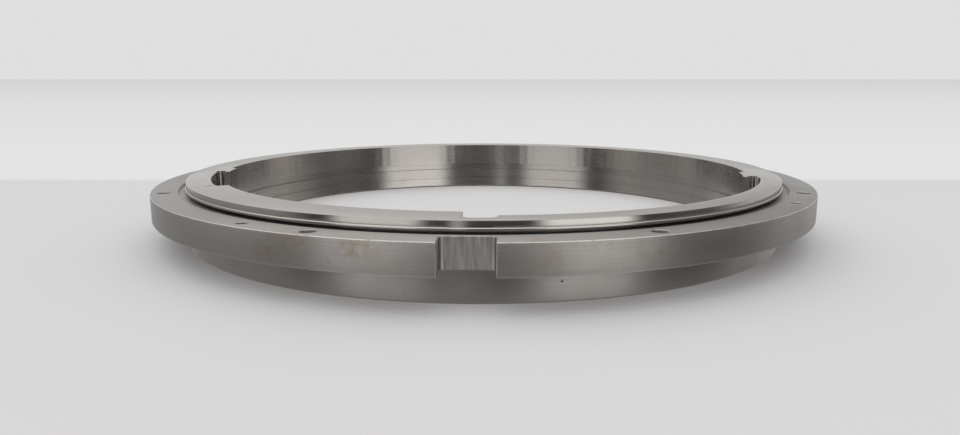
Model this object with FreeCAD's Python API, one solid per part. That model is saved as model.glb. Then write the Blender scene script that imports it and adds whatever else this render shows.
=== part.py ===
import FreeCAD, Part
import math
import os

# Slewing ring bearing: a flanged outer ring, an inner ring with a wide head, and between
# them one row of balls in a plastic cage, closed by two seals.  Millimetres, +Z up.  The
# origin is on the ring's axis, in the plane of the outer ring's lower face.

# ---- driving dimensions --------------------------------------------------------------
OUTER_DIAMETER = 300.0         # flange rim
HEIGHT = 27.2                  # lower face to the top of the inner ring
BALL_DIAMETER = 6.0

# outer ring
FLANGE_THICKNESS = 10.9
FLANGE_OVERHANG = 14.0         # rim beyond the skirt
RIM_TO_HOLES = 5.5             # rim to the bolt circle
SKIRT_WALL = 5.7
EDGE_CHAMFER = 0.4
FLOOR_CHAMFER = 0.8            # the skirt's lower edges
COUNTERBORE_DEPTH = 1.0        # recess round the inner ring's head

# raceway, both rings
SKIRT_TO_PITCH = 3.0           # skirt's radius to the ball pitch radius
BALL_CLEARANCE = 0.25          # ball to groove
CAGE_WALL = 1.4
CAGE_CLEARANCE = 0.4           # cage to each land
CAGE_RIM = 0.7                 # cage above and below the balls
AXIAL_GAP = 0.3                # cage to the upper seal
LEDGE_DROP = 0.6               # cage to the outer ring's ledge
STEP_GAP = 0.5                 # ledge to the inner ring's step
RING_GAP = 0.6                 # radial gap between the rings under the raceway

# seals
SEAL_THICKNESS = 1.1
SEAL_SEAT = 1.2                # ledge that carries the upper seal
LIP_CLEARANCE = 0.25           # seal lip to the inner ring
LOWER_SEAL_Z = 2.0
LOWER_SEAL_HEIGHT = 2.0
LOWER_SEAL_DEPTH = 1.3         # groove in the skirt's bore

# inner ring, radii given as depths inside the ball pitch radius
HEAD_PROUD = 3.9               # head above the flange
HEAD_GAP = 0.4                 # head's underside above the flange
HEAD_COVER = 3.0               # head beyond the pitch radius
HEAD_CLEARANCE = 3.0           # head to the counterbore's wall
HEAD_RIM = 0.35                # raised rim round the foot of the head's wall
HEAD_RIM_HEIGHT = 0.8
INNER_LIFT = 0.5               # inner ring's lower face above the outer ring's
BORE_DEPTH = 8.5
UNDERCUT = 1.5                 # undercut beyond the bore
UNDERCUT_HEIGHT = 4.0          # from the toothed land down to the plain band
SEAM_GROOVE = 0.8              # groove beyond the bore
SEAM_HEIGHT = 1.3
SEAM_DROP = 0.4                # its foot below the plain band's middle
BORE_LAND_HEIGHT = 12.0        # toothed land at the top of the bore
LIP_DEPTH = 12.5               # innermost reach of the teeth
REAR_DEPTH = 10.0
RIGHT_DEPTH = 5.7
LEFT_DEPTH = 7.2
NOTCH_DEPTH = 1.5
NOTCH_CUT = 2.4                # how deep the top notches are cut
POCKET_CORNER = 2.0
NOTCH_CORNER = 3.5
RELIEF_RADIUS = 2.2            # hooked corners behind the two teeth
INNER_CHAMFER = 0.3

# pieces round the ring, angles anticlockwise from +X
BALL_COUNT = 72
CAGE_SEGMENTS = 12
SEGMENT_GAP = 0.3
BOLT_COUNT = 8
BOLT_HOLE = 5.5
BOLT_START = 22.5
JACKING_COUNT = 4
JACKING_HOLE = 4.2
JACKING_START = 56.25
HOLE_CHAMFER = 0.3
SLOT_WIDTH = 17.7
SLOT_ANGLE = 268.0
SLOT_WEB = 1.7                 # metal between the slot and the counterbore
SLOT_CORNER = 1.5
SLOT_CHAMFER = 0.35
PLUG_OVER_BALL = 1.0           # how much wider the plug is than a ball
PLUG_ANGLE = 90.0
FIT = 0.02                     # radial clearance of the plug and its pin
PIN_DIAMETER = 3.0
PIN_FROM_RIM = 7.0
PUNCH_RADIUS = 0.5
PUNCH_ANGLE = 280.5
PUNCH_Z = 7.2

REAR_ARC = (-8.0, 181.0)
RIGHT_ARC = (266.7, 343.5)
LEFT_ARC = (187.5, 209.7)
NOTCH_ARC = (266.7, 272.0)
TAIL_ANGLE = 208.9
TAIL_WIDTH = 1.5
TAIL_START = 6.2               # depths inside the pitch radius
TAIL_END = 1.6
LEFT_RELIEF = (8.4, 186.9)     # depth inside the pitch radius, angle
RIGHT_RELIEF = (8.6, 344.4)

# ---- derived sizes -------------------------------------------------------------------
RIM_R = OUTER_DIAMETER / 2
FLANGE_TOP = HEIGHT - HEAD_PROUD
FLANGE_BOTTOM = FLANGE_TOP - FLANGE_THICKNESS
SKIRT_R = RIM_R - FLANGE_OVERHANG
HOLE_R = RIM_R - RIM_TO_HOLES
SKIRT_BORE_R = SKIRT_R - SKIRT_WALL
PITCH_R = SKIRT_R - SKIRT_TO_PITCH

BALL_R = BALL_DIAMETER / 2
PLUG_R = (BALL_DIAMETER + PLUG_OVER_BALL) / 2
GROOVE_R = BALL_R + BALL_CLEARANCE
CAGE_HALF = BALL_R + CAGE_RIM
LAND_GAP = CAGE_WALL / 2 + CAGE_CLEARANCE
GROOVE_HALF = math.sqrt(GROOVE_R ** 2 - LAND_GAP ** 2)

COUNTERBORE_Z = FLANGE_TOP - COUNTERBORE_DEPTH
SEAL_Z = COUNTERBORE_Z - SEAL_THICKNESS
BALL_Z = SEAL_Z - AXIAL_GAP - CAGE_HALF
LEDGE_Z = BALL_Z - CAGE_HALF - LEDGE_DROP
STEP_Z = LEDGE_Z + STEP_GAP

OUTER_LAND_R = PITCH_R + LAND_GAP
INNER_LAND_R = PITCH_R - LAND_GAP
SEAL_SEAT_R = OUTER_LAND_R + SEAL_SEAT
INNER_LOWER_R = SKIRT_BORE_R - RING_GAP
HEAD_R = PITCH_R + HEAD_COVER
COUNTERBORE_R = HEAD_R + HEAD_CLEARANCE
HEAD_UNDERSIDE = FLANGE_TOP + HEAD_GAP
HEAD_RIM_Z = HEAD_UNDERSIDE + HEAD_RIM_HEIGHT

BORE_R = PITCH_R - BORE_DEPTH
UNDERCUT_R = BORE_R + UNDERCUT
SEAM_R = BORE_R + SEAM_GROOVE
BORE_LAND_Z = HEIGHT - BORE_LAND_HEIGHT
BAND_TOP_Z = BORE_LAND_Z - UNDERCUT_HEIGHT
SEAM_Z = BAND_TOP_Z / 2 - SEAM_DROP
LIP_R = PITCH_R - LIP_DEPTH
NOTCH_Z = HEIGHT - NOTCH_CUT

SLOT_BACK = COUNTERBORE_R + SLOT_WEB
PIN_R = RIM_R - PIN_FROM_RIM
AXIS = FreeCAD.Vector(0, 0, 1)
ORIGIN = FreeCAD.Vector(0, 0, 0)
BEYOND = 5.0                   # how far cutting tools run past the metal


# ---- helpers -------------------------------------------------------------------------
def revolved(outline):
    """Solid turned about Z from (radius, height) corners.  A corner given as
    (middle, end) is reached by an arc through its middle."""
    edges = []
    last = FreeCAD.Vector(outline[0][0], 0, outline[0][1])
    for corner in outline[1:] + outline[:1]:
        if isinstance(corner[0], tuple):
            middle, end = [FreeCAD.Vector(r, 0, z) for r, z in corner]
            edges.append(Part.Arc(last, middle, end).toShape())
        else:
            end = FreeCAD.Vector(corner[0], 0, corner[1])
            edges.append(Part.LineSegment(last, end).toShape())
        last = end
    return Part.Face(Part.Wire(edges)).revolve(ORIGIN, AXIS, 360)


def polar(radius, angle, z=0.0):
    turn = math.radians(angle)
    return FreeCAD.Vector(radius * math.cos(turn), radius * math.sin(turn), z)


def turned(shape, angle):
    copy = shape.copy()
    copy.rotate(ORIGIN, AXIS, angle)
    return copy


def all_round(shape, count, start=0.0):
    return Part.makeCompound([turned(shape, start + 360.0 * i / count) for i in range(count)])


def sector(inner_r, outer_r, arc, bottom, top):
    """Block between two radii and two angles."""
    first, last = arc
    middle = (first + last) / 2
    edges = [
        Part.Arc(polar(outer_r, first), polar(outer_r, middle), polar(outer_r, last)).toShape(),
        Part.LineSegment(polar(outer_r, last), polar(inner_r, last)).toShape(),
        Part.Arc(polar(inner_r, last), polar(inner_r, middle), polar(inner_r, first)).toShape(),
        Part.LineSegment(polar(inner_r, first), polar(outer_r, first)).toShape(),
    ]
    face = Part.Face(Part.Wire(edges))
    face.translate(FreeCAD.Vector(0, 0, bottom))
    return face.extrude(FreeCAD.Vector(0, 0, top - bottom))


def rounded_outside(block, outer_r, radius):
    """The block with its two upright outer corners rounded."""
    corners = []
    for edge in block.Edges:
        ends = [vertex.Point for vertex in edge.Vertexes]
        upright = len(ends) == 2 and abs(ends[0].z - ends[1].z) > radius
        if upright and abs(math.hypot(ends[0].x, ends[0].y) - outer_r) < 0.01:
            corners.append(edge)
    return block.makeFillet(radius, corners)


def pillar(radius, reach, angle, bottom, top):
    return Part.makeCylinder(radius, top - bottom, polar(reach, angle, bottom), AXIS)


def flange_hole(diameter):
    """A hole down through the flange, with its mouth chamfered."""
    radius = diameter / 2
    shaft = pillar(radius, HOLE_R, 0, FLANGE_BOTTOM - BEYOND, FLANGE_TOP + BEYOND)
    depth = HOLE_CHAMFER * 2
    mouth = Part.makeCone(radius, radius + depth, depth,
                          polar(HOLE_R, 0, FLANGE_TOP - HOLE_CHAMFER), AXIS)
    return shaft.fuse(mouth)


def slot_outline(widen, z):
    """Key slot seen from above: square back with rounded corners, flared at the rim."""
    half = SLOT_WIDTH / 2 + widen
    back = SLOT_BACK - widen
    rim = math.sqrt(RIM_R ** 2 - half ** 2) - SLOT_CHAMFER
    out = rim + SLOT_CHAMFER + BEYOND
    flare = half + out - rim
    corner = SLOT_CORNER
    bend = corner * (1 - math.sqrt(0.5))
    points = [
        (back + corner, -half), (rim, -half), (out, -flare),
        (out, flare), (rim, half), (back + corner, half),
    ]
    path = [FreeCAD.Vector(x, y, z) for x, y in points]
    upper = [path[-1], FreeCAD.Vector(back + bend, half - bend, z),
             FreeCAD.Vector(back, half - corner, z)]
    lower = [FreeCAD.Vector(back, corner - half, z),
             FreeCAD.Vector(back + bend, bend - half, z), path[0]]
    edges = [Part.LineSegment(a, b).toShape() for a, b in zip(path, path[1:])]
    edges.append(Part.Arc(*upper).toShape())
    edges.append(Part.LineSegment(upper[-1], lower[0]).toShape())
    edges.append(Part.Arc(*lower).toShape())
    return Part.Wire(edges)


def key_slot():
    """Cut through the flange, with its upper and lower edges broken."""
    body = Part.Face(slot_outline(0, FLANGE_BOTTOM - BEYOND))
    cut = body.extrude(FreeCAD.Vector(0, 0, FLANGE_THICKNESS + 2 * BEYOND))
    top = Part.makeLoft([slot_outline(0, FLANGE_TOP - SLOT_CHAMFER),
                         slot_outline(2 * SLOT_CHAMFER, FLANGE_TOP + SLOT_CHAMFER)], True)
    return turned(cut.fuse(top), SLOT_ANGLE)


def radial_cylinder(radius, angle):
    """Along a radius, from inside the raceway to past the rim, at ball height."""
    start = PITCH_R - BALL_DIAMETER
    length = RIM_R + BEYOND - start
    return Part.makeCylinder(radius, length, polar(start, angle, BALL_Z), polar(1, angle))


# ---- outer ring and what is fixed to it ----------------------------------------------
def outer_blank():
    groove_bottom = (PITCH_R + GROOVE_R, BALL_Z)
    return revolved([
        (SKIRT_R - FLOOR_CHAMFER, 0),
        (SKIRT_R, FLOOR_CHAMFER),
        (SKIRT_R, FLANGE_BOTTOM),
        (RIM_R - EDGE_CHAMFER, FLANGE_BOTTOM),
        (RIM_R, FLANGE_BOTTOM + EDGE_CHAMFER),
        (RIM_R, FLANGE_TOP - EDGE_CHAMFER),
        (RIM_R - EDGE_CHAMFER, FLANGE_TOP),
        (COUNTERBORE_R + INNER_CHAMFER, FLANGE_TOP),
        (COUNTERBORE_R, FLANGE_TOP - INNER_CHAMFER),
        (COUNTERBORE_R, COUNTERBORE_Z),
        (SEAL_SEAT_R, COUNTERBORE_Z),
        (SEAL_SEAT_R, SEAL_Z),
        (OUTER_LAND_R, SEAL_Z),
        (OUTER_LAND_R, BALL_Z + GROOVE_HALF),
        (groove_bottom, (OUTER_LAND_R, BALL_Z - GROOVE_HALF)),
        (OUTER_LAND_R, LEDGE_Z),
        (SKIRT_BORE_R, LEDGE_Z),
        (SKIRT_BORE_R, LOWER_SEAL_Z + LOWER_SEAL_HEIGHT),
        (SKIRT_BORE_R + LOWER_SEAL_DEPTH, LOWER_SEAL_Z + LOWER_SEAL_HEIGHT),
        (SKIRT_BORE_R + LOWER_SEAL_DEPTH, LOWER_SEAL_Z),
        (SKIRT_BORE_R, LOWER_SEAL_Z),
        (SKIRT_BORE_R, FLOOR_CHAMFER),
        (SKIRT_BORE_R + FLOOR_CHAMFER, 0),
    ])


def punch_mark():
    """A centre-punched dot in the skirt."""
    return Part.makeSphere(PUNCH_RADIUS, polar(SKIRT_R, PUNCH_ANGLE, PUNCH_Z))


def outer_ring():
    cuts = [
        all_round(flange_hole(BOLT_HOLE), BOLT_COUNT, BOLT_START),
        all_round(flange_hole(JACKING_HOLE), JACKING_COUNT, JACKING_START),
        key_slot(),
        radial_cylinder(PLUG_R, PLUG_ANGLE),
        pillar(PIN_DIAMETER / 2 + FIT, PIN_R, PLUG_ANGLE, FLANGE_BOTTOM - BEYOND,
               FLANGE_TOP + BEYOND),
        punch_mark(),
    ]
    return outer_blank().cut(cuts)


def loading_plug():
    """Closes the hole that the balls go in by; its inner end carries the raceway on."""
    plug = outer_blank().common(radial_cylinder(PLUG_R - FIT, PLUG_ANGLE))
    hole = pillar(PIN_DIAMETER / 2 + FIT, PIN_R, PLUG_ANGLE, FLANGE_BOTTOM, FLANGE_TOP)
    return plug.cut(hole)


def plug_pin():
    pin = pillar(PIN_DIAMETER / 2, PIN_R, PLUG_ANGLE, FLANGE_BOTTOM, FLANGE_TOP)
    return pin.makeChamfer(INNER_CHAMFER, pin.Edges[:1] + pin.Edges[2:])


def upper_seal():
    """Flat ring on the seat, its lip reaching in under the head."""
    lip = INNER_LAND_R + LIP_CLEARANCE
    return revolved([
        (OUTER_LAND_R, SEAL_Z),
        (SEAL_SEAT_R, SEAL_Z),
        (SEAL_SEAT_R, COUNTERBORE_Z),
        (lip, COUNTERBORE_Z),
        (lip, SEAL_Z + SEAL_THICKNESS / 2),
    ])


def lower_seal():
    """Ring in the skirt's groove, tapering to its lip."""
    top = LOWER_SEAL_Z + LOWER_SEAL_HEIGHT
    lip = INNER_LOWER_R + LIP_CLEARANCE
    return revolved([
        (SKIRT_BORE_R + LOWER_SEAL_DEPTH, LOWER_SEAL_Z),
        (SKIRT_BORE_R + LOWER_SEAL_DEPTH, top),
        (SKIRT_BORE_R, top),
        (lip, LOWER_SEAL_Z + LOWER_SEAL_HEIGHT / 2),
        (lip, LOWER_SEAL_Z),
    ])


# ---- inner ring ----------------------------------------------------------------------
def inner_blank():
    groove_bottom = (PITCH_R - GROOVE_R, BALL_Z)
    return revolved([
        (LIP_R, BORE_LAND_Z),
        (UNDERCUT_R, BORE_LAND_Z),
        (UNDERCUT_R, BAND_TOP_Z),
        (BORE_R, BAND_TOP_Z),
        (BORE_R, SEAM_Z + SEAM_HEIGHT),
        (SEAM_R, SEAM_Z + SEAM_HEIGHT),
        (SEAM_R, SEAM_Z),
        (BORE_R, SEAM_Z),
        (BORE_R, INNER_LIFT + INNER_CHAMFER),
        (BORE_R + INNER_CHAMFER, INNER_LIFT),
        (INNER_LOWER_R - FLOOR_CHAMFER, INNER_LIFT),
        (INNER_LOWER_R, INNER_LIFT + FLOOR_CHAMFER),
        (INNER_LOWER_R, STEP_Z),
        (INNER_LAND_R, STEP_Z),
        (INNER_LAND_R, BALL_Z - GROOVE_HALF),
        (groove_bottom, (INNER_LAND_R, BALL_Z + GROOVE_HALF)),
        (INNER_LAND_R, HEAD_UNDERSIDE),
        (HEAD_R + HEAD_RIM - INNER_CHAMFER, HEAD_UNDERSIDE),
        (HEAD_R + HEAD_RIM, HEAD_UNDERSIDE + INNER_CHAMFER),
        (HEAD_R + HEAD_RIM, HEAD_RIM_Z),
        (HEAD_R, HEAD_RIM_Z + HEAD_RIM),
        (HEAD_R, HEIGHT - INNER_CHAMFER),
        (HEAD_R - INNER_CHAMFER, HEIGHT),
        (LIP_R, HEIGHT),
    ])


def bore_pocket(depth, arc, floor_z, corner=POCKET_CORNER):
    outer_r = PITCH_R - depth
    block = sector(LIP_R - BEYOND, outer_r, arc, floor_z, HEIGHT + BEYOND)
    return rounded_outside(block, outer_r, corner)


def tail_cut():
    """Tapered run-out of the pocket's cutter in the top face."""
    turn = TAIL_WIDTH / (PITCH_R - TAIL_START)
    wide = math.degrees(turn) / 2
    corners = [polar(PITCH_R - TAIL_START, TAIL_ANGLE - wide, NOTCH_Z),
               polar(PITCH_R - TAIL_START, TAIL_ANGLE + wide, NOTCH_Z),
               polar(PITCH_R - TAIL_END, TAIL_ANGLE, NOTCH_Z)]
    face = Part.Face(Part.makePolygon(corners + corners[:1]))
    return face.extrude(FreeCAD.Vector(0, 0, NOTCH_CUT + BEYOND))


def inner_ring():
    cuts = [
        bore_pocket(REAR_DEPTH, REAR_ARC, BORE_LAND_Z),
        bore_pocket(RIGHT_DEPTH, RIGHT_ARC, BORE_LAND_Z),
        bore_pocket(LEFT_DEPTH, LEFT_ARC, BORE_LAND_Z),
        bore_pocket(NOTCH_DEPTH, NOTCH_ARC, NOTCH_Z, NOTCH_CORNER),
        tail_cut(),
    ]
    for depth, angle in (LEFT_RELIEF, RIGHT_RELIEF):
        cuts.append(pillar(RELIEF_RADIUS, PITCH_R - depth, angle, BORE_LAND_Z, HEIGHT + BEYOND))
    return inner_blank().cut(cuts)


# ---- rolling set ---------------------------------------------------------------------
def cage_segment(index):
    """One arc of the cage with a round window for each of its balls."""
    share = 360.0 / CAGE_SEGMENTS
    gap = math.degrees(SEGMENT_GAP / PITCH_R) / 2
    arc = (index * share + gap, (index + 1) * share - gap)
    wall = sector(PITCH_R - CAGE_WALL / 2, PITCH_R + CAGE_WALL / 2, arc,
                  BALL_Z - CAGE_HALF, BALL_Z + CAGE_HALF)
    windows = []
    for angle in ball_angles(index):
        start = polar(PITCH_R - CAGE_WALL, angle, BALL_Z)
        windows.append(Part.makeCylinder(BALL_R + BALL_CLEARANCE, 2 * CAGE_WALL, start,
                                         polar(1, angle)))
    return wall.cut(windows)


def ball_angles(index):
    pitch = 360.0 / BALL_COUNT
    per_segment = BALL_COUNT // CAGE_SEGMENTS
    first = index * per_segment
    return [(first + i + 0.5) * pitch for i in range(per_segment)]


def ball_set(index):
    centres = [polar(PITCH_R, angle, BALL_Z) for angle in ball_angles(index)]
    return Part.makeCompound([Part.makeSphere(BALL_R, centre) for centre in centres])


# ---- export --------------------------------------------------------------------------
nodes = {
    "outer_ring": outer_ring(),
    "upper_seal": upper_seal(),
    "lower_seal": lower_seal(),
    "loading_plug": loading_plug(),
    "plug_pin": plug_pin(),
    "inner_ring": inner_ring(),
}
for number in range(CAGE_SEGMENTS):
    nodes["cage_segment_%02d" % (number + 1)] = cage_segment(number)
    nodes["ball_set_%02d" % (number + 1)] = ball_set(number)

os.makedirs("parts", exist_ok=True)
for name, shape in nodes.items():
    shape.exportStep("parts/%s.step" % name)
    solids = len(shape.Solids)
    print("%-16s solids %2d  valid %s  volume %.1f" % (name, solids, shape.isValid(), shape.Volume))
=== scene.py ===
import math

import bpy
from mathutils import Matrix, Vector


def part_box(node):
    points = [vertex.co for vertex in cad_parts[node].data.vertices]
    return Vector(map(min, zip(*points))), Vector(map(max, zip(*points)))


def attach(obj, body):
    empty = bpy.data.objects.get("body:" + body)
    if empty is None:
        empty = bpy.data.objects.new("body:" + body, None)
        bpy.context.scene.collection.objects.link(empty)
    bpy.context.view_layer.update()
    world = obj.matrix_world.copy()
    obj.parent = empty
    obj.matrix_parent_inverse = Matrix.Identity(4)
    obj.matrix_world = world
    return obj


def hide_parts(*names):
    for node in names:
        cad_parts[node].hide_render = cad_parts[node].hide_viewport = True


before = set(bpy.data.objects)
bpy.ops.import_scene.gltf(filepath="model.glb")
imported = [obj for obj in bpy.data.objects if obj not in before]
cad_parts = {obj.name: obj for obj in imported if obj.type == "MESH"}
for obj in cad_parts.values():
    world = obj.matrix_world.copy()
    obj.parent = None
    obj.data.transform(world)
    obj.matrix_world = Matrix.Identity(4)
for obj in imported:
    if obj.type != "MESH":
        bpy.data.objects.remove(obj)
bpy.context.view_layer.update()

MM = 0.001

# ---- sizes, millimetres, as the ring is designed ------------------------------------------
RIM_R = 150.0
SKIRT_R = 136.0
SKIRT_BORE_R = 130.3
PITCH_R = 133.0
HEAD_R = 136.0
COUNTERBORE_R = 139.0
SEAL_SEAT_R = 135.3
INNER_LOWER_R = 129.7
BORE_R = 124.5
LIP_R = 120.5
UNDERCUT_R = 126.0
SEAM_R = 125.3                 # narrow groove in the bore's plain band
HOLE_R = 144.5
CLEARANCE_R = 2.75             # flange's eight larger holes
TAPPED_R = 2.1                 # its four smaller ones
FLANGE_THICKNESS = 10.9
OUTER_LAND_R = 134.1
INNER_LAND_R = 131.9

FLANGE_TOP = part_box("outer_ring")[1].z / MM
RING_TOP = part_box("inner_ring")[1].z / MM
FLANGE_BOTTOM = FLANGE_TOP - FLANGE_THICKNESS
COUNTERBORE_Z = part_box("upper_seal")[1].z / MM
SEAL_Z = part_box("upper_seal")[0].z / MM
BALL_Z = 17.2
GROOVE = 3.25                  # raceway groove's radius
GROOVE_HALF = 3.058            # half its height at the land
LEDGE_Z = 12.9
STEP_Z = 13.4
HEAD_UNDERSIDE = FLANGE_TOP + 0.4
HEAD_FOOT = 0.35               # how far the foot of the head's wall stands proud
BORE_LAND_Z = RING_TOP - 12.0
BAND_TOP = 11.2                # top of the bore's plain band
SEAM = (5.2, 6.5)
INNER_FLOOR = 0.5              # inner ring's lower face
NOTCH_CUT = 2.4
NOTCH_Z = RING_TOP - NOTCH_CUT
# radius of the back, first and last angle
REAR_POCKET = (123.0, -8.0, 181.0)
RIGHT_POCKET = (127.3, 266.7, 343.5)
LEFT_POCKET = (125.8, 187.5, 209.7)
TOP_NOTCH = (131.5, 266.7, 272.0)
POCKET_CORNER = 2.0
NOTCH_CORNER = 3.5
# radius and angle of the drilled ends of two pockets
LEFT_RELIEF = (124.6, 186.9)
RIGHT_RELIEF = (124.4, 344.4)
RELIEF_R = 2.2
TAIL_R = 128.3
TAIL_ANGLE = 208.9
LOWER_SEAL = (2.0, 4.0)
EDGE = 0.4                     # flange chamfer
FLOOR_EDGE = 0.8               # skirt chamfer
FINE_EDGE = 0.3
SLOT_ANGLE = 268.0
SLOT_WIDTH = 17.7
SLOT_BACK = 140.7
PLUG_ANGLE = 90.0
PLUG_R = 3.5
PIN_R = 143.0                  # the pin's place along the plug
PIN_RADIUS = 1.5
FIT = 0.02                     # slack of the plug and the pin in their holes
LIP_GAP = 0.25                 # seal lip to the inner ring
SEAL_RECESS = 1.3              # depth of the lower seal's groove
PUNCH_ANGLE = 280.5             # small centre-punch mark in the skirt
PUNCH_Z = 7.2
PUNCH_R = 0.5
STEPS = 360                    # facets round a turned piece
BEYOND = 5.0                   # how far cutters run past the metal
OVERCUT = 0.2                  # how far bore cutters go below the land, so no two faces coincide

# ---- camera and surroundings ----------------------------------------------------------
EYE = (0.0, -360 * MM, 70.6 * MM)
EYE_PITCH = 10.74              # degrees below the horizon
LENS = 27.675
TABLE_EDGE_Y = 153 * MM        # where the table stops and the pale ground behind it starts


def place(radius, angle, height):
    turn = math.radians(angle)
    return (radius * math.cos(turn) * MM, radius * math.sin(turn) * MM, height * MM)


# ---- shader expressions ---------------------------------------------------------------
class Value:
    """A number in a node tree; arithmetic on it adds Math nodes."""

    def __init__(self, tree, socket):
        self.tree = tree
        self.socket = socket

    def math(self, operation, *others):
        node = self.tree.nodes.new("ShaderNodeMath")
        node.operation = operation
        for entry, item in zip(node.inputs, (self,) + others):
            if isinstance(item, Value):
                self.tree.links.new(item.socket, entry)
            else:
                entry.default_value = item
        return Value(self.tree, node.outputs[0])

    def __add__(self, other):
        return self.math("ADD", other)

    __radd__ = __add__

    def __sub__(self, other):
        return self.math("SUBTRACT", other)

    def __rsub__(self, other):
        return self.math("MULTIPLY_ADD", -1.0, other)

    def __mul__(self, other):
        return self.math("MULTIPLY", other)

    __rmul__ = __mul__

    def __neg__(self):
        return self.math("MULTIPLY", -1.0)

    def __abs__(self):
        return self.math("ABSOLUTE")

    def step(self, start, end, low=0.0, high=1.0):
        """Smoothly from low at start to high at end."""
        node = self.tree.nodes.new("ShaderNodeMapRange")
        node.interpolation_type = "SMOOTHSTEP"
        self.tree.links.new(self.socket, node.inputs["Value"])
        for name, number in zip(("From Min", "From Max", "To Min", "To Max"),
                                (start, end, low, high)):
            node.inputs[name].default_value = number
        return Value(self.tree, node.outputs[0])

    def band(self, start, end, soft):
        """1 between start and end, fading over soft at each side."""
        return self.step(start - soft, start) * self.step(end, end + soft, 1.0, 0.0)


class Shader:
    """One node tree, with the few calls that the materials are written in."""

    def __init__(self, tree):
        self.tree = tree

    def feed(self, entry, item):
        """Links a value or an output to an input, or sets the input to a constant."""
        if isinstance(item, Value):
            self.tree.links.new(item.socket, entry)
        elif isinstance(item, bpy.types.NodeSocket):
            self.tree.links.new(item, entry)
        else:
            entry.default_value = item

    def node(self, kind, settings=None, **sockets):
        node = self.tree.nodes.new(kind)
        for name, setting in (settings or {}).items():
            setattr(node, name, setting)
        for name, item in sockets.items():
            self.feed(node.inputs[name.replace("_", " ")], item)
        return node

    def coordinates(self, name="Object"):
        """x, y and z of a texture coordinate."""
        split = self.node("ShaderNodeSeparateXYZ",
                          Vector=self.node("ShaderNodeTexCoord").outputs[name])
        return [Value(self.tree, out) for out in split.outputs]

    def vector(self, x, y, z):
        return self.node("ShaderNodeCombineXYZ", X=x, Y=y, Z=z).outputs[0]

    def noise(self, point, scale=1.0, detail=2.0, roughness=0.5, dimensions="3D", w=None):
        sockets = {"Scale": scale, "Detail": detail, "Roughness": roughness}
        if dimensions != "1D":
            sockets["Vector"] = point
        if w is not None:
            sockets["W"] = w
        node = self.node("ShaderNodeTexNoise", {"noise_dimensions": dimensions}, **sockets)
        return Value(self.tree, node.outputs[0])

    def mix(self, amount, first, second):
        """A colour between two colours."""
        node = self.node("ShaderNodeMix", {"data_type": "RGBA"})
        for number, item in ((0, amount), (6, first), (7, second)):
            self.feed(node.inputs[number], item)
        return node.outputs[2]

    def bump(self, height, depth, strength):
        return self.node("ShaderNodeBump", Height=height, Distance=depth,
                         Strength=strength).outputs[0]


def new_material(name):
    material = bpy.data.materials.new(name)
    material.use_nodes = True
    material.node_tree.nodes.clear()
    return material, Shader(material.node_tree)


def grey(level, warm=0.0):
    """A grey, a little redder than blue by warm."""
    return (level * (1 + warm), level, level * (1 - warm), 1.0)


def finish_material(material, shader, **sockets):
    surface = shader.node("ShaderNodeBsdfPrincipled", **sockets)
    output = shader.node("ShaderNodeOutputMaterial", Surface=surface.outputs[0])
    output.is_active_output = True
    return material


def brown_marks(x, y, z, marks, patches, stained):
    """Adds stains round the places on the rim that marks lists, to the stain so far."""
    for turn, level, size in marks:
        px, py, pz = place(RIM_R, turn, level)
        near = ((x - px) * (x - px) + (y - py) * (y - py)
                + (z - pz) * (z - pz) * 4.0).math("SQRT")
        spot = near.step(0.0, size * MM, 1.0, 0.0)
        stained = stained.math("MAXIMUM", spot * patches.step(0.14, 0.34) * 0.8)
    return stained


def slot_axes(x, y):
    """Distance out along the slot's middle line, and sideways from it."""
    turn = math.radians(SLOT_ANGLE)
    out = x * math.cos(turn) + y * math.sin(turn)
    sideways = y * math.cos(turn) - x * math.sin(turn)
    return out, sideways


def milled_slot(s, x, y, z, tone, warm):
    """Where the slot's back wall is, and its streaky upright finish."""
    out, sideways = slot_axes(x, y)
    half = SLOT_WIDTH / 2 * MM
    high = z.step((FLANGE_BOTTOM - 0.1) * MM, FLANGE_BOTTOM * MM)
    back = abs(sideways).step(half, half + 0.3 * MM, 1.0, 0.0) * high
    back = back * out.step((SLOT_BACK + 0.3) * MM, (SLOT_BACK + 0.6) * MM, 1.0, 0.0)
    back = back * out.step((SLOT_BACK - 0.4) * MM, (SLOT_BACK - 0.1) * MM)
    fine = s.noise(s.vector(sideways * 650.0, z * 60.0, 0.0), 1.0, 3.0, 0.6)
    patch = s.noise(s.vector(sideways * 160.0, z * 70.0, 2.0), 1.0, 2.0, 0.5)
    streak = (fine * 0.6 + patch * 0.4).step(0.36, 0.62)
    return back, s.mix(streak, grey(tone * 0.8, warm), grey(tone * 1.25, warm))


def painted_edge_highlight_mask(x, y, z, radius):
    """Mask of a painted highlight on the flange's upper and lower chamfers, and on the slot's two
    upright edges at the rim.
    """
    sideways = slot_axes(x, y)[1]
    half = SLOT_WIDTH / 2 * MM
    start, full = EDGE * 0.95, EDGE * 0.75
    upper = RIM_R + FLANGE_TOP
    lower = RIM_R - FLANGE_BOTTOM
    rim = (radius + z).step((upper - start) * MM, (upper - full) * MM)
    foot = (radius - z).step((lower - start) * MM, (lower - full) * MM)
    jaw = abs(sideways).band(half, half + FINE_EDGE * 0.9 * MM, 0.05 * MM)
    jaw = jaw * radius.step((RIM_R - FINE_EDGE * 1.2) * MM, (RIM_R - 0.02) * MM)
    return rim.math("MAXIMUM", foot * 0.5).math("MAXIMUM", jaw)


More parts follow.
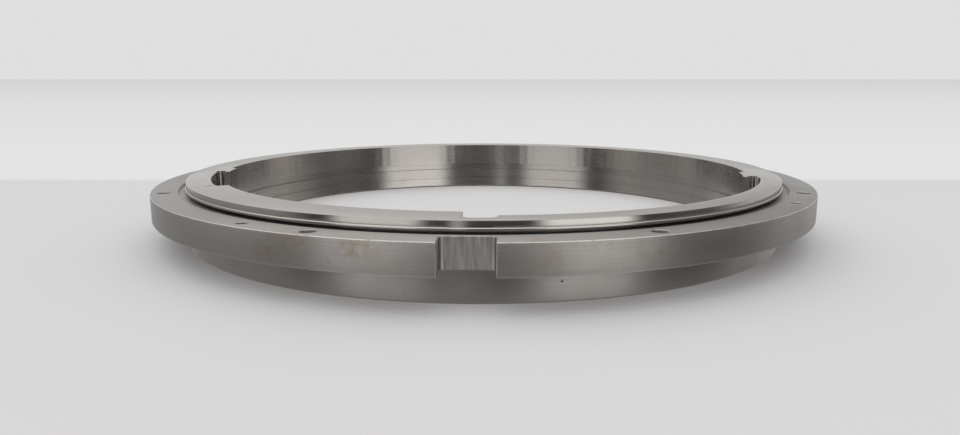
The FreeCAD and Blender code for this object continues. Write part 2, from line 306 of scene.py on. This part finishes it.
def turned_steel(name, tone, warm, roughness, line_depth, stain=0.3, polish=None, marks=(),
                 slotted=False):
    """Steel with fine turning lines: rings on flat faces, hoops on round walls.

    polish is a least radius, a reach of height, a share of the tone and how much smoother;
    marks are brown stains, each an angle, a height and a size; slotted adds the milled slot
    and a painted highlight on the edges of the outer ring's flange.
    """
    material, s = new_material(name)
    x, y, z = s.coordinates()
    radius = (x * x + y * y).math("SQRT")
    angle = y.math("ARCTAN2", x)
    along = radius + z
    lines = s.noise(None, 9000.0, 3.0, 0.7, "1D", w=along)
    broad = s.noise(None, 1500.0, 2.0, 0.6, "1D", w=along)
    scratches = s.noise(s.vector(along * 2600.0, angle * 9.0, 0.0), 1.0, 3.0, 0.65)
    cloud = s.noise(s.vector(x, y, z), 38.0, 4.0, 0.55)
    blotch = s.noise(s.vector(x, y, z), 95.0, 5.0, 0.6)
    speck = s.noise(s.vector(x, y, z), 420.0, 3.0, 0.6)
    stained = (blotch * cloud).step(0.30, 0.46) * stain
    stained = brown_marks(x, y, z, marks, speck * blotch, stained)
    base = s.mix(lines.step(0.3, 0.7), grey(tone * 0.86, warm), grey(tone * 1.1, warm))
    base = s.mix(broad.step(0.35, 0.65) * 0.4, base, grey(tone * 0.82, warm))
    base = s.mix(cloud.step(0.35, 0.7) * 0.35, base, grey(tone * 0.78, warm * 2.2))
    base = s.mix(speck.step(0.66, 0.74) * 0.35, base, grey(tone * 0.45, warm))
    base = s.mix(stained, base, (tone * 0.85, tone * 0.64, tone * 0.45, 1.0))
    rough = roughness + (scratches - 0.5) * 0.22 + (cloud - 0.5) * 0.16 + stained * 0.15
    if polish is not None:
        least, low, high, share, smoother = polish
        fine = radius.step((least - 0.1) * MM, least * MM) * z.band(low * MM, high * MM, 0.1 * MM)
        base = s.mix(fine, base, grey(tone * share, warm))
        rough = rough - fine * smoother
    if slotted:
        back, streaks = milled_slot(s, x, y, z, tone, warm)
        base = s.mix(back, base, streaks)
        # painted highlight: the flange's chamfers and the slot's rim edges are lightened in specks
        # towards a pale grey, standing in for glints of light
        painted_edge_highlight = painted_edge_highlight_mask(x, y, z, radius) * speck.step(0.3, 0.45)
        base = s.mix(painted_edge_highlight * 0.8, base, grey(0.85, warm * 0.5))
        rough = rough + back * 0.14 + painted_edge_highlight * 0.12
    rough = rough.math("MAXIMUM", 0.06)
    normal = s.bump(lines * 0.7 + scratches * 0.5, line_depth, 0.6)
    return finish_material(material, s, Base_Color=base, Roughness=rough, Metallic=1.0,
                           Anisotropic=0.8, Anisotropic_Rotation=0.25, Normal=normal)


def plain(name, color, roughness, metallic=0.0):
    material, s = new_material(name)
    x, y, z = s.coordinates()
    grain = s.noise(s.vector(x, y, z), 900.0, 3.0)
    tint = s.mix(grain * 0.35, color, tuple(c * 0.7 for c in color[:3]) + (1.0,))
    rough = roughness + (grain - 0.5) * 0.15
    return finish_material(material, s, Base_Color=tint, Roughness=rough, Metallic=metallic,
                           Normal=s.bump(grain, 0.03 * MM, 0.4))


def dress(node, material):
    mesh = node.data
    mesh.materials.clear()
    mesh.materials.append(material)


# ---- materials -------------------------------------------------------------------------
outer_steel = turned_steel(
    "turned_outer_steel", 0.37, 0.045, 0.42, 0.012 * MM, 0.3,
    marks=((246.0, 20.5, 14.0), (243.0, 17.5, 9.0), (255.4, 20.5, 11.0), (292.0, 19.0, 6.0)),
    slotted=True)
inner_steel = turned_steel(
    "turned_inner_steel", 0.45, 0.055, 0.24, 0.007 * MM, 0.1,
    polish=(HEAD_R - 0.2, HEAD_UNDERSIDE - 1.0, RING_TOP + 1.0, 0.92, 0.1))
pin_steel = turned_steel("ground_pin_steel", 0.34, 0.02, 0.3, 0.006 * MM, 0.1)
ball_steel = plain("ball_steel", (0.62, 0.62, 0.63, 1.0), 0.08, 1.0)
nylon = plain("natural_nylon", (0.66, 0.61, 0.48, 1.0), 0.5)
nitrile = plain("black_nitrile", (0.03, 0.03, 0.032, 1.0), 0.6)

for name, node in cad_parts.items():
    if name.startswith("cage"):
        dress(node, nylon)
    elif name.startswith("ball"):
        dress(node, ball_steel)
    elif name.endswith("seal"):
        dress(node, nitrile)
    elif name == "plug_pin":
        dress(node, pin_steel)
    elif name == "inner_ring":
        dress(node, inner_steel)
    else:
        dress(node, outer_steel)


# ---- modelling ---------------------------------------------------------------------------
def deselect():
    bpy.ops.object.select_all(action="DESELECT")


def edit():
    bpy.ops.object.mode_set(mode="EDIT")


def leave_edit():
    bpy.ops.object.mode_set(mode="OBJECT")


def select(item, kind, chosen):
    """Selects the vertices, edges or faces whose middle passes the test; leaves edit mode on."""
    bpy.ops.mesh.select_mode(type={"vertices": "VERT", "edges": "EDGE", "polygons": "FACE"}[kind])
    bpy.ops.mesh.select_all(action="DESELECT")
    leave_edit()
    mesh = item.data
    for part in getattr(mesh, kind):
        part.select = chosen(mesh, part)
    edit()


def tidy_mesh(item, angle=30):
    """Merges doubles, turns the normals out and shades smooth up to an angle."""
    edit()
    bpy.ops.mesh.select_all(action="SELECT")
    bpy.ops.mesh.remove_doubles(threshold=0.001 * MM)
    bpy.ops.mesh.normals_make_consistent(inside=False)
    leave_edit()
    bpy.ops.object.shade_smooth_by_angle(angle=math.radians(angle))
    return item


def lathe(name, outline, steps=STEPS):
    """A ring turned about Z: a circle drawn out from corner to corner of its section, in mm."""
    deselect()
    radius, height = outline[0]
    bpy.ops.mesh.primitive_circle_add(vertices=steps, radius=radius * MM,
                                      location=(0, 0, height * MM))
    item = bpy.context.object
    item.name = item.data.name = name
    bpy.ops.object.transform_apply(location=True, rotation=True, scale=True)
    edit()
    bpy.ops.mesh.select_all(action="SELECT")
    for next_radius, next_height in outline[1:] + outline[:1]:
        bpy.ops.mesh.extrude_edges_move(
            TRANSFORM_OT_translate={"value": (0, 0, (next_height - height) * MM)})
        growth = next_radius / radius
        bpy.ops.transform.resize(value=(growth, growth, 1), center_override=(0, 0, 0))
        radius, height = next_radius, next_height
    leave_edit()
    return tidy_mesh(item)


def groove(side, sign):
    """Corners of the raceway's arc, from sign above the ball's height to sign below it."""
    start = math.asin(GROOVE_HALF / GROOVE)
    count = 10
    corners = []
    for i in range(count + 1):
        turn = sign * start * (1 - 2 * i / count)
        corners.append((PITCH_R + side * GROOVE * math.cos(turn), BALL_Z + GROOVE * math.sin(turn)))
    return corners


def carve(item, *cutters):
    """Cuts each cutter out of the item, and removes it."""
    for cutter in cutters:
        deselect()
        item.select_set(True)
        bpy.context.view_layer.objects.active = item
        cut = item.modifiers.new("cut", "BOOLEAN")
        cut.operation = "DIFFERENCE"
        cut.solver = "EXACT"
        cut.object = cutter
        bpy.ops.object.modifier_apply(modifier=cut.name)
        bpy.data.objects.remove(cutter)
    return tidy_mesh(item)


def settle(item):
    """The item's place goes into its mesh."""
    deselect()
    item.select_set(True)
    bpy.context.view_layer.objects.active = item
    bpy.ops.object.transform_apply(location=True, rotation=True, scale=True)
    return item


def drill(radius, reach, angle, bottom, top, mouth=0.0):
    """A cutter for an upright hole; a mouth widens it by that much at the top face."""
    deselect()
    depth = top - mouth - bottom
    middle = bottom + depth / 2
    bpy.ops.mesh.primitive_cylinder_add(
        vertices=48, radius=radius * MM, depth=depth * MM, location=place(reach, angle, middle),
        rotation=(0, 0, math.radians(2)))   # off the ring's own facets, for a clean cut
    item = settle(bpy.context.object)
    if mouth:
        edit()
        select(item, "polygons", lambda mesh, face: face.normal.z > 0.9)
        bpy.ops.mesh.extrude_region_move(
            TRANSFORM_OT_translate={"value": (0, 0, 2 * mouth * MM)})
        growth = (radius + 2 * mouth) / radius
        bpy.ops.transform.resize(value=(growth, growth, 1))
        leave_edit()
    return item


def radial_drill(radius, angle):
    deselect()
    length = RIM_R + BEYOND - PITCH_R + 2 * GROOVE
    middle = RIM_R + BEYOND - length / 2
    bpy.ops.mesh.primitive_cylinder_add(
        vertices=48, radius=radius * MM, depth=length * MM,
        location=place(middle, angle, BALL_Z),
        rotation=(math.radians(90), 0, math.radians(angle + 90)))
    return settle(bpy.context.object)


def slot_cutter():
    """A block with two rounded corners at its back, spread a little above and below."""
    deselect()
    front = RIM_R + BEYOND
    length = front - SLOT_BACK
    height = FLANGE_TOP - FLANGE_BOTTOM - 2 * FINE_EDGE
    bpy.ops.mesh.primitive_cube_add(size=1.0)
    item = bpy.context.object
    item.scale = (length * MM, SLOT_WIDTH * MM, height * MM)
    item.location = ((SLOT_BACK + length / 2) * MM, 0, (FLANGE_TOP + FLANGE_BOTTOM) / 2 * MM)
    settle(item)
    edit()

    def back_corner(mesh, edge):
        a, b = [mesh.vertices[i].co for i in edge.vertices]
        return abs(a.z - b.z) > 1 * MM and a.x < (SLOT_BACK + 1) * MM

    select(item, "edges", back_corner)
    bpy.ops.mesh.bevel(offset=1.5 * MM, segments=6)
    spread = ((length + 2) / length, (SLOT_WIDTH + 2) / SLOT_WIDTH, 1)
    for up in (1, -1):
        select(item, "polygons", lambda mesh, face: face.normal.z * up > 0.9)
        bpy.ops.mesh.extrude_region_move(TRANSFORM_OT_translate={"value": (0, 0, up * MM)})
        bpy.ops.transform.resize(value=spread)
    leave_edit()
    item.rotation_euler.z = math.radians(SLOT_ANGLE)
    return settle(item)


def rim_edge_cutter(side):
    """A square bar on edge, which breaks the slot's upright edge at the rim."""
    deselect()
    half = SLOT_WIDTH / 2
    bpy.ops.mesh.primitive_cube_add(size=1.0)
    item = bpy.context.object
    bar = FINE_EDGE * math.sqrt(2) * MM
    item.scale = (bar, bar, 2 * BEYOND * 2 * MM)
    item.rotation_euler.z = math.radians(45)
    item.location = (math.sqrt(RIM_R ** 2 - half ** 2) * MM, side * half * MM,
                     (FLANGE_TOP + FLANGE_BOTTOM) / 2 * MM)
    settle(item)
    item.rotation_euler.z = math.radians(SLOT_ANGLE)
    return settle(item)


def sector_cutter(outer_r, first, last, bottom, corner):
    """A curved block for a pocket in the bore, its two outer corners rounded."""
    deselect()
    inner_r = LIP_R - BEYOND
    top = RING_TOP + BEYOND
    bpy.ops.mesh.primitive_plane_add(size=1.0)
    item = bpy.context.object
    item.scale = ((outer_r - inner_r) * MM, (top - bottom) * MM, 1)
    item.rotation_euler.x = math.radians(90)
    item.location = ((outer_r + inner_r) / 2 * MM, 0, (top + bottom) / 2 * MM)
    settle(item)
    item.rotation_euler.z = math.radians(first)
    settle(item)
    sweep = last - first
    edit()
    bpy.ops.mesh.select_all(action="SELECT")
    bpy.ops.mesh.spin(steps=max(2, round(sweep / 2.5)), angle=-math.radians(sweep),
                      center=(0, 0, 0), axis=(0, 0, 1))
    leave_edit()
    tidy_mesh(item)
    ends = [place(outer_r, angle, 0) for angle in (first, last)]

    def outer_corner(mesh, edge):
        a, b = [mesh.vertices[i].co for i in edge.vertices]
        upright = abs(a.z - b.z) > 1 * MM
        return upright and any(math.hypot(a.x - e[0], a.y - e[1]) < 0.1 * MM for e in ends)

    edit()
    select(item, "edges", outer_corner)
    bpy.ops.mesh.bevel(offset=corner * MM, segments=6)
    leave_edit()
    return item


def tail_cutter():
    """The tapered run-out beside the long lip."""
    deselect()
    bpy.ops.mesh.primitive_cylinder_add(vertices=3, radius=MM, depth=(NOTCH_CUT + BEYOND) * MM)
    item = bpy.context.object
    item.rotation_euler.z = math.radians(-90)
    settle(item)
    item.scale = (3.1, 0.87, 1.0)
    item.location = (TAIL_R * MM, 0, (NOTCH_Z + (NOTCH_CUT + BEYOND) / 2) * MM)
    settle(item)
    item.rotation_euler.z = math.radians(TAIL_ANGLE)
    return settle(item)


# ---- pieces --------------------------------------------------------------------------------
def make_outer_ring():
    ring = lathe("outer_ring_turned", [
        (SKIRT_R - FLOOR_EDGE, 0),
        (SKIRT_R - 0.25, FLOOR_EDGE * 0.55),
        (SKIRT_R, FLOOR_EDGE + 0.15),
        (SKIRT_R, PUNCH_Z - 0.8),      # a short course of faces, to hold the punch mark
        (SKIRT_R, PUNCH_Z + 0.8),
        (SKIRT_R, FLANGE_BOTTOM - 0.35),
        (SKIRT_R + 0.1, FLANGE_BOTTOM - 0.1),
        (SKIRT_R + 0.35, FLANGE_BOTTOM),
        (RIM_R - EDGE, FLANGE_BOTTOM),
        (RIM_R - 0.12, FLANGE_BOTTOM + 0.12),
        (RIM_R, FLANGE_BOTTOM + EDGE),
        (RIM_R, FLANGE_TOP - EDGE),
        (RIM_R - 0.12, FLANGE_TOP - 0.12),
        (RIM_R - EDGE, FLANGE_TOP),
        (COUNTERBORE_R + FINE_EDGE, FLANGE_TOP),
        (COUNTERBORE_R, FLANGE_TOP - FINE_EDGE),
        (COUNTERBORE_R, COUNTERBORE_Z + 0.15),
        (COUNTERBORE_R - 0.15, COUNTERBORE_Z),
        (SEAL_SEAT_R, COUNTERBORE_Z),
        (SEAL_SEAT_R, SEAL_Z),
        (OUTER_LAND_R, SEAL_Z),
    ] + groove(1, 1) + [
        (OUTER_LAND_R, LEDGE_Z),
        (SKIRT_BORE_R, LEDGE_Z),
        (SKIRT_BORE_R, LOWER_SEAL[1]),
        (SKIRT_BORE_R + SEAL_RECESS, LOWER_SEAL[1]),
        (SKIRT_BORE_R + SEAL_RECESS, LOWER_SEAL[0]),
        (SKIRT_BORE_R, LOWER_SEAL[0]),
        (SKIRT_BORE_R, FLOOR_EDGE),
        (SKIRT_BORE_R + FLOOR_EDGE, 0),
    ])
    below, above = FLANGE_BOTTOM - BEYOND, FLANGE_TOP
    cutters = [drill(CLEARANCE_R, HOLE_R, 22.5 + 45 * i, below, above, FINE_EDGE)
               for i in range(8)]
    cutters += [drill(TAPPED_R, HOLE_R, 56.25 + 90 * i, below, above, FINE_EDGE)
                for i in range(4)]
    cutters += [slot_cutter(), rim_edge_cutter(1), rim_edge_cutter(-1)]
    cutters.append(radial_drill(PLUG_R, PLUG_ANGLE))
    cutters.append(drill(PIN_RADIUS + FIT, PIN_R, PLUG_ANGLE, below, FLANGE_TOP + BEYOND))
    deselect()
    bpy.ops.mesh.primitive_uv_sphere_add(segments=24, ring_count=12, radius=PUNCH_R * MM,
                                         location=place(SKIRT_R + 0.12, PUNCH_ANGLE, PUNCH_Z))
    cutters.append(settle(bpy.context.object))
    return carve(ring, *cutters)


def make_inner_ring():
    ring = lathe("inner_ring_turned", [
        (LIP_R, BORE_LAND_Z),
        (UNDERCUT_R, BORE_LAND_Z),
        (UNDERCUT_R, BAND_TOP),
        (BORE_R, BAND_TOP),
        (BORE_R, SEAM[1]),
        (SEAM_R, SEAM[1]),
        (SEAM_R, SEAM[0]),
        (BORE_R, SEAM[0]),
        (BORE_R, INNER_FLOOR + FINE_EDGE),
        (BORE_R + FINE_EDGE, INNER_FLOOR),
        (INNER_LOWER_R - FLOOR_EDGE, INNER_FLOOR),
        (INNER_LOWER_R, INNER_FLOOR + FLOOR_EDGE),
        (INNER_LOWER_R, STEP_Z),
        (INNER_LAND_R, STEP_Z),
    ] + groove(-1, -1) + [
        (INNER_LAND_R, HEAD_UNDERSIDE),
        (HEAD_R + 0.05, HEAD_UNDERSIDE),
        (HEAD_R + 0.28, HEAD_UNDERSIDE + 0.1),
        (HEAD_R + HEAD_FOOT, HEAD_UNDERSIDE + 0.3),
        (HEAD_R + HEAD_FOOT, HEAD_UNDERSIDE + 0.8),
        (HEAD_R + 0.25, HEAD_UNDERSIDE + 0.98),
        (HEAD_R, HEAD_UNDERSIDE + 1.15),
        (HEAD_R, RING_TOP - 0.3),
        (HEAD_R - 0.09, RING_TOP - 0.09),
        (HEAD_R - 0.3, RING_TOP),
        (LIP_R + 0.15, RING_TOP),
        (LIP_R, RING_TOP - 0.15),
    ])
    floor_z = BORE_LAND_Z - OVERCUT
    above = RING_TOP + BEYOND
    return carve(
        ring,
        sector_cutter(*REAR_POCKET, floor_z, POCKET_CORNER),
        sector_cutter(*RIGHT_POCKET, floor_z, POCKET_CORNER),
        sector_cutter(*LEFT_POCKET, floor_z, POCKET_CORNER),
        sector_cutter(*TOP_NOTCH, NOTCH_Z, NOTCH_CORNER),
        tail_cutter(),
        drill(RELIEF_R, *LEFT_RELIEF, floor_z, above),
        drill(RELIEF_R, *RIGHT_RELIEF, floor_z, above),
    )


def make_upper_seal():
    lip = INNER_LAND_R + LIP_GAP
    return lathe("upper_seal_moulded", [
        (OUTER_LAND_R + 0.05, SEAL_Z),
        (SEAL_SEAT_R, SEAL_Z),
        (SEAL_SEAT_R, COUNTERBORE_Z - 0.12),
        (SEAL_SEAT_R - 0.12, COUNTERBORE_Z),
        (lip + 1.1, COUNTERBORE_Z),
        (lip + 0.9, COUNTERBORE_Z - 0.2),
        (lip + 0.5, COUNTERBORE_Z - 0.2),
        (lip + 0.3, COUNTERBORE_Z),
        (lip, COUNTERBORE_Z - 0.1),
        (lip, SEAL_Z + 0.55),
    ])


def make_lower_seal():
    lip = INNER_LOWER_R + LIP_GAP
    low, high = LOWER_SEAL
    back = SKIRT_BORE_R + SEAL_RECESS
    return lathe("lower_seal_moulded", [
        (back, low + 0.1),
        (back, high - 0.1),
        (SKIRT_BORE_R, high),
        (lip, (low + high) / 2),
        (lip, low + 0.15),
        (lip + 0.35, low),
        (lip + 0.7, low + 0.2),
        (lip + 1.0, low + 0.2),
        (lip + 1.2, low),
    ])


def make_loading_plug():
    """A rod along a radius, its outer end turned flush with the rim, its inner end in the race."""
    plug = radial_drill(PLUG_R - FIT, PLUG_ANGLE)
    plug.name = plug.data.name = "loading_plug_turned"
    low, high = 10, 25   # heights below and above the plug
    far, near = RIM_R + 20, 100
    race = PITCH_R + GROOVE
    outside = lathe("outside", [(RIM_R, low), (RIM_R, high), (far, high), (far, low)])
    inside = lathe("inside", [(near, low), (race, low), (race, high), (near, high)])
    return carve(plug, outside, inside, drill(PIN_RADIUS + FIT, PIN_R, PLUG_ANGLE, 8, 28))


def make_plug_pin():
    pin = drill(PIN_RADIUS, PIN_R, PLUG_ANGLE, FLANGE_BOTTOM, FLANGE_TOP)
    pin.name = pin.data.name = "plug_pin_ground"
    edit()
    select(pin, "polygons", lambda mesh, face: abs(face.normal.z) > 0.9)
    bpy.ops.mesh.bevel(offset=0.25 * MM, segments=3)
    leave_edit()
    return tidy_mesh(pin)


def fit(piece, body, node, material):
    dress(piece, material)
    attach(piece, body)
    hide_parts(node)


fit(make_outer_ring(), "outer", "outer_ring", outer_steel)
fit(make_inner_ring(), "inner", "inner_ring", inner_steel)
fit(make_upper_seal(), "outer", "upper_seal", nitrile)
fit(make_lower_seal(), "outer", "lower_seal", nitrile)
fit(make_loading_plug(), "outer", "loading_plug", outer_steel)
fit(make_plug_pin(), "outer", "plug_pin", pin_steel)


# ---- table, light and camera -------------------------------------------------------------
def make_floor():
    deselect()
    bpy.ops.mesh.primitive_plane_add(size=60.0)
    floor = bpy.context.object
    floor.name = "floor"
    material, s = new_material("pale_table")
    x, y, z = s.coordinates()
    speckle = s.noise(s.vector(x, y, z), 900.0, 2.0)
    cloud = s.noise(s.vector(x, y, z), 6.0, 2.0)
    table = s.mix(cloud * 0.5 + speckle * 0.3, (0.54, 0.533, 0.53, 1.0), (0.57, 0.565, 0.565, 1.0))
    color = s.mix(y.step(TABLE_EDGE_Y - 12 * MM, TABLE_EDGE_Y + 12 * MM), table,
                  (0.625, 0.63, 0.625, 1.0))
    floor.data.materials.append(
        finish_material(material, s, Base_Color=color, Roughness=0.75,
                        Specular_IOR_Level=0.0))
    floor.visible_glossy = False   # the steel mirrors the room's own lower half instead
    floor.visible_shadow = False


def windows(side):
    """Two pale windows and a gleam between them, by the compass angle from straight ahead."""
    left = side.band(-49.0, -26.0, 8.0) * 0.8
    right = side.band(24.0, 49.0, 8.0) * 1.1
    gleam = side.band(-10.5, -7.5, 1.5) * 0.45
    return left + right + gleam


def make_surroundings():
    """A bright room with the side in front of the ring dark, but for two windows in it."""
    world = bpy.data.worlds.new("room")
    world.use_nodes = True
    bpy.context.scene.world = world
    world.node_tree.nodes.clear()
    s = Shader(world.node_tree)
    x, y, z = s.coordinates("Generated")
    side = x.math("ARCTAN2", -y) * (180 / math.pi)
    turn = abs(side)
    low = z.step(0.30, 0.62, 1.0, 0.0)
    back = (turn + x * 22.0).step(104.0, 134.0)
    above = z.step(0.11, 0.15)
    wall = 0.74 * (1.0 - above) + above * (0.6 - x * 0.15)
    wall = wall * z.step(-0.15, -0.03, 0.6, 1.0)
    walls = wall * back + (1.0 - back) * (0.24 + z.step(0.0, 0.3) * 0.2 - x * 0.13)
    ceiling = 1.05 - x * 0.45
    high = z.step(0.2, 0.75)
    front = turn.step(60.0, 78.0, 1.0, 0.0) * low
    near = z.step(-0.6, -0.3, 1.0, 0.0)
    room = walls * (1.0 - high) + ceiling * high
    room = room * (1.0 - front) + front * (0.085 + windows(side) * 1.25)
    room = room * (1.0 - near) + near * 0.34
    background = s.node("ShaderNodeBackground", Color=(1.0, 1.0, 1.0, 1.0), Strength=room)
    s.node("ShaderNodeOutputWorld", Surface=background.outputs[0])


def make_light():
    light = bpy.data.lights.new("soft_sun", "SUN")
    light.energy = 0.35
    light.angle = math.radians(70)
    lamp = bpy.data.objects.new("soft_sun", light)
    lamp.rotation_euler = (math.radians(8), math.radians(6), 0)
    bpy.context.scene.collection.objects.link(lamp)


def make_fill():
    """Soft light from ahead of the ring that the steel does not mirror."""
    light = bpy.data.lights.new("fill", "AREA")
    light.shape = "RECTANGLE"
    light.size = 6.0
    light.size_y = 2.6
    light.energy = 270.0
    lamp = bpy.data.objects.new("fill", light)
    lamp.location = (0, -6.0, 2.6)
    lamp.rotation_euler = (math.radians(75), 0, 0)
    lamp.visible_camera = False
    lamp.visible_glossy = False
    bpy.context.scene.collection.objects.link(lamp)


def make_camera():
    data = bpy.data.cameras.new("camera")
    data.lens = LENS
    data.sensor_width = 36.0
    data.shift_x = -0.004
    data.clip_start = 0.01
    camera = bpy.data.objects.new("camera", data)
    camera.location = EYE
    camera.rotation_euler = (math.radians(90 - EYE_PITCH), 0, 0)
    bpy.context.scene.collection.objects.link(camera)
    bpy.context.scene.camera = camera


make_floor()
make_surroundings()
make_light()
make_fill()
make_camera()
bpy.context.scene.view_settings.view_transform = "Standard"
